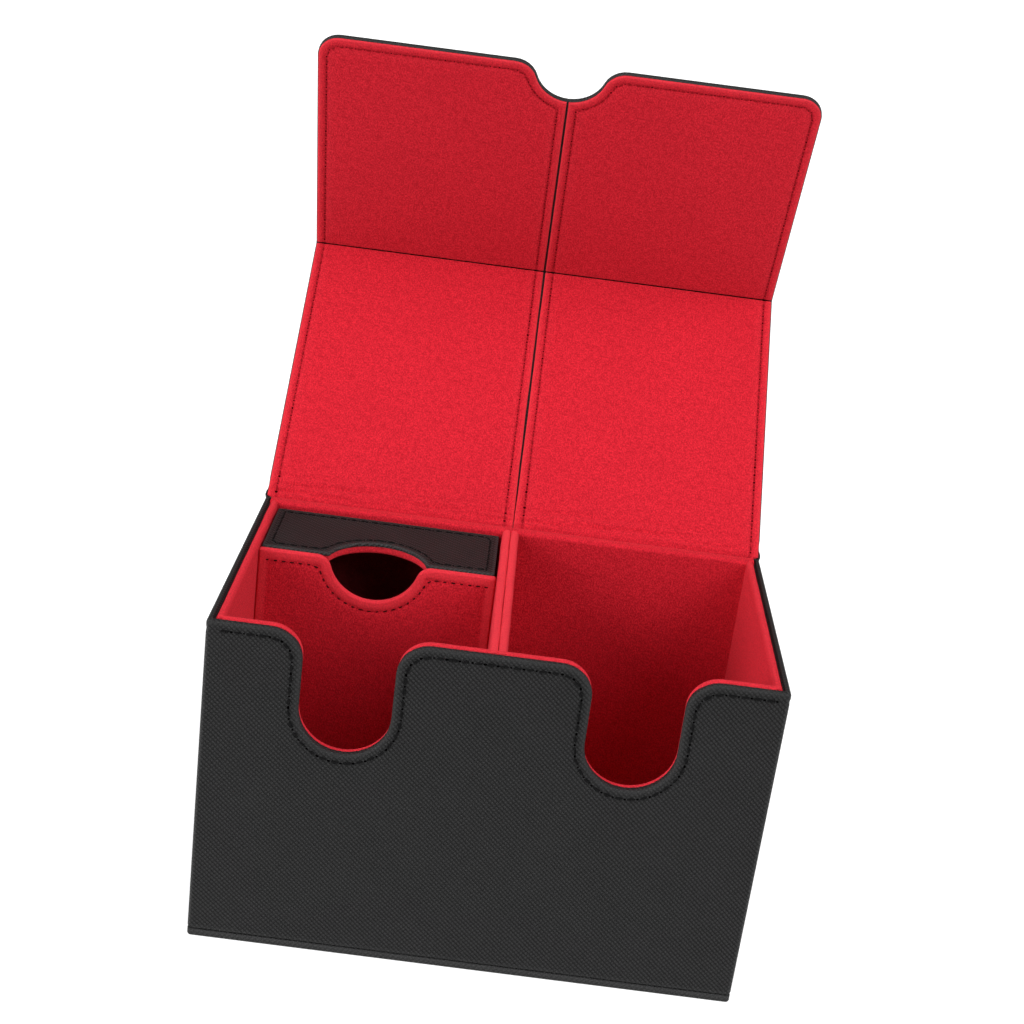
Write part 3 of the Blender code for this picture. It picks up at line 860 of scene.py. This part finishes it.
def make_front_liner():
    """The front wall's suede, with the same finger notches as the wall."""
    low, high = FRONT_LINER_LOW, FRONT_LINER_HIGH
    thickness = high.y - low.y

    def front(inset):
        edge = front_edge(high.z, -LINER_BACK, inset, high.x - 2 - inset)
        left, right = low.x + 0.5 + inset, high.x - 0.5 - inset
        foot, upper = low.z - BURY + inset, high.z - inset
        return [(left, foot), (right, foot), (right, upper), *edge, (left, upper)]

    puff = [(3.5, 0.0), (2.0, -0.04)]
    profile = puff + rounding(1.0) + turned(rounding(1.0), thickness) + [(2.5, thickness)]
    mesh = plate("front_wall_suede", front, profile, standing(low.y, 1))
    add_piece("front_wall_suede", mesh, SUEDE, "case", ["front_liner"])


def make_inner_liners():
    """The suede on the side walls and on both faces of the divider."""
    for side, word in SIDES:
        make_side_liner(f"{word}_side_liner", side, False, 1.1)
        make_side_liner(f"{word}_divider_panel", side, True, 1.15)


def make_side_liner(node, side, inner, radius):
    """The suede on a side wall or, if inner, on that side of the divider."""
    low, high = box_mm(node)
    outline = rounded_box(low.y - 2 * BURY, low.z - BURY, high.y + 2 * BURY, high.z, 0.3)
    outer = high.x if side > 0 else low.x
    start, way = (SEAM_X + side * 0.01, side) if inner else (outer, -side)
    thickness = abs(outer - start) if inner else high.x - low.x

    def place(y, z, t):
        wave = noise.noise((y * 0.11, side * 9.0, z * 0.03)) * (0.16 if inner else 0.1)
        sag = noise.noise((y * 0.09, side * 5.0, 3.0)) * 0.12 * smoothstep(90, 100, z)
        return start + way * t + wave * smoothstep(80, 98, z), y, z + sag

    # Lighter along the divider's top edge: a painted highlight where the nap catches the light, with some
    # wear.
    def scuff_and_highlight(y, z, t):
        return 1.05 * smoothstep(high.z - 1.2, high.z - 0.3, z) * inner

    cuts = [("x", y) for y in np.arange(-40, 41, 4)] + [("y", 80), ("y", 90), ("y", 96)]
    edge = bullnose(thickness, 0.75 if inner else radius, radius)
    mesh = plate(f"{node}_suede", outline, edge, place, cuts, scuff_and_highlight=scuff_and_highlight)
    add_piece(f"{node}_suede", mesh, SUEDE, "case", [node])


def make_back_liner():
    """The back liner, whose suede goes on over the board's top as far as the hinge."""
    low, high = BACK_LINER_LOW, BACK_LINER_HIGH
    top = high.z + 0.4
    roof = box_mm("back_board")[1].z + 0.08
    end = 45.5
    radius = 1.15

    def section(x):
        lift = noise.noise((x * 0.08, 2.0, 0.0)) * 0.12
        lean = noise.noise((x * 0.13, 7.0, 0.0)) * 0.10
        points = [(low.y, low.z - BURY)]
        points += [
            (low.y + lean + radius * (1 - math.cos(a)), top + lift - radius * (1 - math.sin(a)))
            for a in np.linspace(0, math.pi / 2, 8)
        ]
        points += [(y, top + lift + 0.12 * math.sin((y - 42.6) * 1.2)) for y in (43.2, 43.9, 44.5)]
        points += [
            (end - 0.6 * (1 - math.sin(a)), roof + 0.05 + (top - roof + lift) * math.cos(a))
            for a in np.linspace(0.2, math.pi / 2, 6)
        ]
        points += [(end - 0.1, roof), (high.y + 0.15, roof), (high.y, roof - 0.2), (high.y, low.z - BURY)]
        return [(x, y, z) for y, z in points]

    stations = [-76.0, -75.9] + list(np.linspace(-75.5, 75.5, 76)) + [75.9, 76.0]
    mesh = loft("back_wall_suede", [section(x) for x in stations])
    add_piece("back_wall_suede", mesh, SUEDE, "case", ["back_liner"])


# -------- lids


def hinge_leather_path():
    """The outer face of the leather from the back wall, round the hinge and onto the lid."""
    points = [(HALF_DEPTH, 92.0), (HALF_DEPTH, 95.0), (HALF_DEPTH, 97.0), (HALF_DEPTH + 0.02, 98.3)]
    points += [(HALF_DEPTH + 0.55, 99.2), on_lid(0.9, 2.05), on_lid(1.9, 1.8), on_lid(2.9, 1.95)]
    points += [on_lid(4.3, 2.75), on_lid(5.6, 3.15), on_lid(7.0, LID_DEPTH), on_lid(9.0, LID_DEPTH)]
    return Bend(points, 9.0)


def lid_rows(side, start, end):
    """The two rows of stitches along a lid's sides."""
    return [[(side * x, start), (side * x, end)] for x in (SPLIT + STITCH_INSET, HALF_WIDTH - STITCH_INSET)]


def make_lid_leather(word, side, hinge):
    """One lid's leather, from the seam on the back wall over the hinge to the fold."""
    left, right = sorted((side * SPLIT, side * HALF_WIDTH))
    outline = rounded_box(left, hinge.runs[0] - 6, right, LID_LENGTH + 8, 0.3)
    seam_run = hinge.run_to(BACK_SEAM)
    narrow = hinge.run_to(RIM_TOP - 1.6)

    def place(x, run, height):
        full = smoothstep(2.5, HINGE_GUTTER + 0.5, run)
        height *= 0.21 + 0.79 * full
        taper = (abs(x) - SHOULDER) / (HALF_WIDTH - SHOULDER)
        if taper > 0:
            x -= side * taper * (HALF_WIDTH - BACK_HALF) * (1 - smoothstep(narrow, narrow + 0.8, run))
            x += side * taper * 0.5 * smoothstep(narrow + 0.6, 0, run) * (1 - smoothstep(1, 2.6, run))
        y, z = hinge.at(run, height)
        return x, y, z

    bends = [("y", r) for r in np.arange(-8, 9.5, 0.4)]
    bends += [("x", side * x) for x in (SHOULDER, SHOULDER + 4)]
    trims = [("y", LID_LENGTH - FOLD_REACH, 1), ("y", seam_run, -1)]
    mesh = plate(f"{word}_lid_skin", outline, lid_leather_edge(), place, bends, trims)
    stands_for = [f"{word}_hinge_leather", f"{word}_lid_leather"]
    obj = add_piece(f"{word}_lid_skin", mesh, LEATHER, None, stands_for)
    blend_over(obj, (0.8, 0.6))
    rows = lid_rows(side, 5.5, LID_LENGTH - 1)
    stitches(f"{word}_lid_back_stitches", rows, place, OUTSIDE_STITCH, BLACK_THREAD, f"{word}_lid")


def blend_over(obj, way):
    """Bakes the piece's placement into its mesh. It does not bend the piece; the way is normalised and then
    unused.
    """
    way = Vector(way).normalized()
    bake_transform(obj)


def crease(reach):
    """How far the lining's face drops at that distance from its end in the fold."""
    share = max(0, 1 - reach / CREASE_HALF)
    return CREASE_DEPTH * (1 - math.sqrt(max(1 - share**2, 0)))


def make_lid_lining(word, side):
    """The lid's lining, which dives into the crease behind the back wall's suede."""
    points = [(45.62, 97.6), (45.66, 98.6), (45.78, 99.35), (46.08, 99.98)]
    points += [on_lid(0.55, 0), on_lid(1.6, 0), on_lid(3, 0)]
    path = Bend(points, 3.0)
    left, right = sorted((side * (SPLIT + EDGE_STEP), side * (HALF_WIDTH - EDGE_STEP)))
    outline = rounded_box(left, -9, right, LID_LENGTH + 8, 0.3)
    end = LID_LENGTH + 0.10

    def place(x, run, depth):
        face = 1 - min(depth / LINING, 1)
        drop = crease(end - run)
        near = 1 - smoothstep(2.0, 11.0, run)
        crimp = noise.noise((x * 0.035, run * 0.55, side * 3.0)) * 0.8
        crimp += noise.noise((x * 0.10, run * 1.2, side * 8.0)) * 0.35 - 0.10
        soft = noise.noise((x * 0.05, run * 0.05, side * 2.0)) * 0.10
        height = (crimp * near * smoothstep(0.2, 1.0, run) + soft * smoothstep(3, 10, run)) * face
        near_slit = 1 - smoothstep(0.5, 5, abs(x))
        x -= side * near_slit * 0.24 * (1 - smoothstep(0, 22, run))
        x += side * near_slit * 0.18 * noise.noise((run * 0.06, side * 4.0, 0.0)) * smoothstep(4, 20, run)
        taper = (abs(x) - SHOULDER) / (HALF_WIDTH - SHOULDER)
        if taper > 0:
            x -= side * taper * (HALF_WIDTH - TUCK_HALF) * (1 - smoothstep(-1.0, -0.2, run))
        y, z = path.at(run, -depth - drop * face + min(height, 0.2))
        return x, y, z

    bends = [("y", r) for r in np.arange(-1.2, 9, 0.35)]
    bends += [("y", end - d) for d in CREASE_STEPS]
    bends += [("y", r) for r in np.arange(14, LID_LENGTH - 2, 8)]
    bends += [("x", side * x) for x in (*np.arange(5, 78, 2.6), SHOULDER + 4)]
    trims = [("y", end, 1), ("y", -1.4, -1)]
    mesh = plate(f"{word}_lid_suede", outline, lining_edge(), place, bends, trims)
    stands_for = [f"{word}_hinge_lining", f"{word}_lid_lining"]
    obj = add_piece(f"{word}_lid_suede", mesh, SUEDE, None, stands_for)
    blend_over(obj, LID_ALONG)

    def on_lining(x, run, depth):
        y, z = on_lid(run, depth)
        return x, y, z

    rows = lid_rows(side, 1.4, end - 1)
    stitches(f"{word}_lid_stitches", rows, on_lining, LINING_STITCH, RED_THREAD, f"{word}_lid")


def make_flap(word, side):
    """One flap: its leather, which starts before the fold, its lining and both rows of stitches."""
    turn = LID_DEPTH * FOLD_ANGLE

    def place_leather(x, run, height):
        depth = LID_DEPTH - height
        if run >= 0:
            y, z = on_flap(run, depth)
        elif run > -turn:
            way = Matrix.Rotation((run + turn) / LID_DEPTH, 2) @ -LID_UP
            y, z = FOLD + way * depth
        else:
            y, z = on_lid(LID_LENGTH + run + turn, depth)
        return x, y, z

    start = -turn - FOLD_REACH
    bends = [("y", r) for r in np.linspace(-turn, 0, 13)]
    trims = [("y", start, -1)]
    outline = flap_outline(side, start - 8)
    mesh = plate(f"{word}_flap_skin", outline, lid_leather_edge(), place_leather, bends, trims)
    stands_for = [f"{word}_fold_leather", f"{word}_flap_leather"]
    obj = add_piece(f"{word}_flap_skin", mesh, LEATHER, None, stands_for)
    blend_over(obj, LID_ALONG + FLAP_ALONG)
    begin = -0.15

    def place_lining(x, run, depth):
        face = 1 - min(depth / LINING, 1)
        drop = crease(run - begin)
        y, z = on_flap(run, depth + drop * face)
        return x, y, z

    bends = [("y", begin + d) for d in CREASE_STEPS]
    trims = [("y", begin, -1)]
    leather_outline = flap_outline(side, -8)

    def lining_outline(inset):
        """The leather's outline, stepped in, and less so towards the free edge."""
        return [(x, y + 0.22 * smoothstep(40, 62, y)) for x, y in leather_outline(inset + EDGE_STEP)]

    mesh = plate(f"{word}_flap_suede", lining_outline, lining_edge(), place_lining, bends, trims)
    # The flaps' lining in the darker copy of the suede: painted shade.
    obj = add_piece(f"{word}_flap_suede", mesh, SHADE_PAINTED_FLAP_LINING, None, [f"{word}_flap_lining"])
    blend_over(obj, LID_ALONG + FLAP_ALONG)
    path = flap_outline(side, 1.5)(STITCH_INSET)
    path = path[1:] + path[:1]
    flap = f"{word}_flap"
    stitches(f"{flap}_stitches", [path], place_lining, LINING_STITCH, RED_THREAD, flap)
    stitches(f"{flap}_back_stitches", [path], place_leather, OUTSIDE_STITCH, BLACK_THREAD, flap)


def make_lids():
    """Both lids with their flaps. The leather's path over the hinge is the same for both."""
    hinge = hinge_leather_path()
    for side, word in SIDES:
        make_lid_leather(word, side, hinge)
        make_lid_lining(word, side)
        make_flap(word, side)


# -------- tray


def make_tray():
    """The tray: a leather box, open at the front and lined with suede, with a notch in its top."""
    low, high = box_mm("tray_leather")
    radius = 0.5
    inset = 2.5
    notch_outline = rounded_box(low.x, -high.y, high.x, -low.y, 0.5, TRAY_NOTCH)

    def on_top(x, v, t):
        return x, -v, high.z - t

    furrow = [(5.0, 0.0)] + groove(inset, 0.12, 0.8) + [(1.1, -0.03)]
    lip, lip_width = 1.05, 0.35
    profile = furrow + rounding(radius)[1:] + [(0.02, radius + 0.1), (0.02, lip - 0.1), (0.1, lip)]
    profile += [(lip_width, lip), (lip_width, TRAY_SKIN)]
    mesh = plate("tray_top_leather", notch_outline, profile, on_top)
    add_piece("tray_top_leather", mesh, TRAY_LEATHER, "tray", ["tray_leather"])
    path = notch_outline(inset)
    stitches("tray_stitches", [path + path[:1]], on_top, TRAY_STITCH, BLACK_THREAD, "tray")
    edge = bullnose(TRAY_SKIN, radius * 0.6, 0.1)
    left, right, under_lip = low.x + 0.2, high.x - 0.2, high.z - 0.3
    walls = (
        ("left", rounded_box(low.y, low.z, high.y, under_lip, 0.3), sideways(low.x, 1)),
        ("right", rounded_box(low.y, low.z, high.y, under_lip, 0.3), sideways(high.x, -1)),
        ("back", rounded_box(left, low.z, right, under_lip, 0.3), standing(high.y, -1)),
        ("bottom", rounded_box(left, low.y, right, high.y, 0.3), lying(low.z, 1)),
    )
    for word, outline, place in walls:
        mesh = plate(f"tray_{word}_leather", outline, edge, place)
        add_piece(f"tray_{word}_leather", mesh, TRAY_LEATHER, "tray", ["tray_leather"])
    low, high = box_mm("tray_top_panel")
    inner = (TRAY_NOTCH[0] + lip_width - 0.05, TRAY_NOTCH[1] + 0.3, 0.4)
    outline = rounded_box(low.x, -high.y, high.x, -low.y, 0.3, inner)
    top = high.z

    def under_top(x, v, t):
        return x, -v, top - t

    mesh = plate("tray_top_suede", outline, bullnose(high.z - low.z + 1.2, 0.3, 0.8), under_top)
    add_piece("tray_top_suede", mesh, SUEDE, "tray", ["tray_top_panel"])
    for word in ("left", "right", "back", "bottom"):
        low, high = box_mm(f"tray_{word}_panel")
        if word == "bottom":
            outline, place = rounded_box(low.x, low.y, high.x, high.y, 0.3), lying(low.z, 1)
        elif word == "back":
            outline, place = rounded_box(low.x, low.z, high.x, high.z, 0.3), standing(low.y, 1)
        else:
            outline, place = rounded_box(low.y, low.z, high.y, high.z, 0.3), sideways(low.x, 1)
        mesh = plate(f"tray_{word}_suede", outline, bullnose(1.5, 0.45), place)
        # The tray's inner panels in the darker suede: painted shade.
        add_piece(f"tray_{word}_suede", mesh, SHADE_PAINTED_TRAY_LINING, "tray", [f"tray_{word}_panel"])


def make_cover():
    """The tray's cover: a board wrapped in suede, with a notch and stitches along its upper edge."""
    low, high = box_mm("cover_front_suede")
    back = box_mm("cover_back_suede")[1].y
    thickness = back - low.y
    outline = rounded_box(low.x - 0.28, low.z, high.x + 0.28, high.z, 0.8, COVER_NOTCH, COVER_SHIFT)
    inset = 3.3
    furrow = [(6.0, 0.0)] + groove(inset, 0.2, 1.1) + [(1.7, -0.04)]
    profile = furrow + rounding(0.9)[1:] + turned(rounding(1.2), thickness)

    def place(x, z, depth):
        inner = smoothstep(low.x + 6, low.x + 9, x) * smoothstep(-high.x + 6, -high.x + 9, -x)
        stitched = max(inner * smoothstep(70, 76, z), smoothstep(high.z - 7, high.z - 4, z))
        if 0 < depth < 0.25 and z < high.z - 2:
            depth *= stitched
        return x, low.y + depth, z

    middle = (low.x + high.x) / 2 + COVER_SHIFT
    radius, rise, _ = COVER_NOTCH

    # Lighter along the top edge and the notch: wear where fingers rub, and a painted highlight on the puffed
    # rim.
    def scuff_and_highlight(x, z, depth):
        below = min(high.z - z, math.hypot(x - middle, z - high.z - rise) - radius)
        return 0.8 * (1 - smoothstep(2.0, 3.4, below))

    mesh = plate("cover_suede", outline, profile, place, scuff_and_highlight=scuff_and_highlight)
    add_piece("cover_suede", mesh, SUEDE, "tray_cover", ["cover_front_suede", "cover_back_suede"])
    left, right = low.x + 1.2, high.x - 1.2
    top = high.z - inset
    path = [(right, top)] + round_notch(middle, high.z, COVER_NOTCH, inset) + [(left, top)]
    stitches("cover_stitches", [path], standing(low.y, 1), COVER_STITCH, MAROON_THREAD, "tray_cover")


# -------- stage


def towards(azimuth, elevation):
    """The direction of what stands that far to the right of the front and that high."""
    a, e = azimuth, elevation
    return Vector((math.sin(a) * math.cos(e), -math.cos(a) * math.cos(e), math.sin(e)))


def make_camera():
    """The camera stands in front and above, a little turned about its own axis."""
    azimuth, elevation, roll = [math.radians(turn) for turn in CAMERA_TURN]
    back = towards(azimuth, elevation)
    right = (-back).cross(Vector((0, 0, 1))).normalized()
    up = right.cross(-back)
    across = right * math.cos(roll) + up * math.sin(roll)
    upward = up * math.cos(roll) - right * math.sin(roll)
    data = bpy.data.cameras.new("camera")
    data.lens = 60
    data.sensor_width = 36
    data.clip_start = 0.01
    data.clip_end = 100
    camera = add_object("camera", data)
    target = Vector(CAMERA_AIM) + across * CAMERA_SHIFT[0] + upward * CAMERA_SHIFT[1]
    turn = Matrix((across, upward, back)).transposed().to_4x4()
    camera.matrix_world = Matrix.Translation(target + back * CAMERA_DISTANCE) @ turn
    bpy.context.scene.camera = camera


def add_sun(name, strength, elevation, azimuth):
    """A wide soft light from that height, azimuth degrees to the right of the front."""
    data = bpy.data.lights.new(name, "SUN")
    data.energy = strength
    data.angle = math.radians(SUN_SPREAD)
    sun = add_object(name, data)
    way = towards(math.radians(azimuth), math.radians(elevation))
    sun.rotation_euler = way.to_track_quat("Z", "Y").to_euler()


def stage_piece(name, points, faces, material):
    """A piece of the stage, which is no part of the model."""
    mesh = bpy.data.meshes.new(name)
    mesh.from_pydata(points, [], faces)
    mesh.materials.append(material)
    obj = add_object(name, mesh)
    return obj


def make_stage():
    """A wide floor, and a pale wall far off that only low views see and that blocks no light."""
    floor = [(x * FLOOR_REACH, y * FLOOR_REACH, -0.00005) for x, y in ((-1, -1), (1, -1), (1, 1), (-1, 1))]
    stage_piece("floor", floor, [(0, 1, 2, 3)], plain("studio_floor", 0.5, 0.75))
    count = WALL_PANELS
    turns = [i * math.tau / count for i in range(count)]
    ring = [(WALL_REACH * math.sin(a), WALL_REACH * math.cos(a)) for a in turns]
    points = [(x, y, z) for z in (-1, FLOOR_REACH) for x, y in ring]
    panels = [(i, (i + 1) % count, (i + 1) % count + count, i + count) for i in range(count)]
    wall = stage_piece("backdrop", points, panels, plain("studio_wall", 0.0, 1.0))
    wall.visible_shadow = False
    wall.visible_diffuse = False
    wall.visible_glossy = False
    world = bpy.data.worlds.new("studio")
    bpy.context.scene.world = world
    world.use_nodes = True
    background = world.node_tree.nodes["Background"]
    background.inputs["Color"].default_value = (1.0, 1.0, 1.0, 1)
    background.inputs["Strength"].default_value = 0.1
    for name, strength, elevation, azimuth in SUNS:
        add_sun(name, strength, elevation, azimuth)
    bpy.context.scene.view_settings.view_transform = "Standard"


finish_cad_nodes()
make_walls()
make_back_leather()
make_base()
make_front_liner()
make_inner_liners()
make_back_liner()
make_lids()
make_tray()
make_cover()
make_camera()
make_stage()
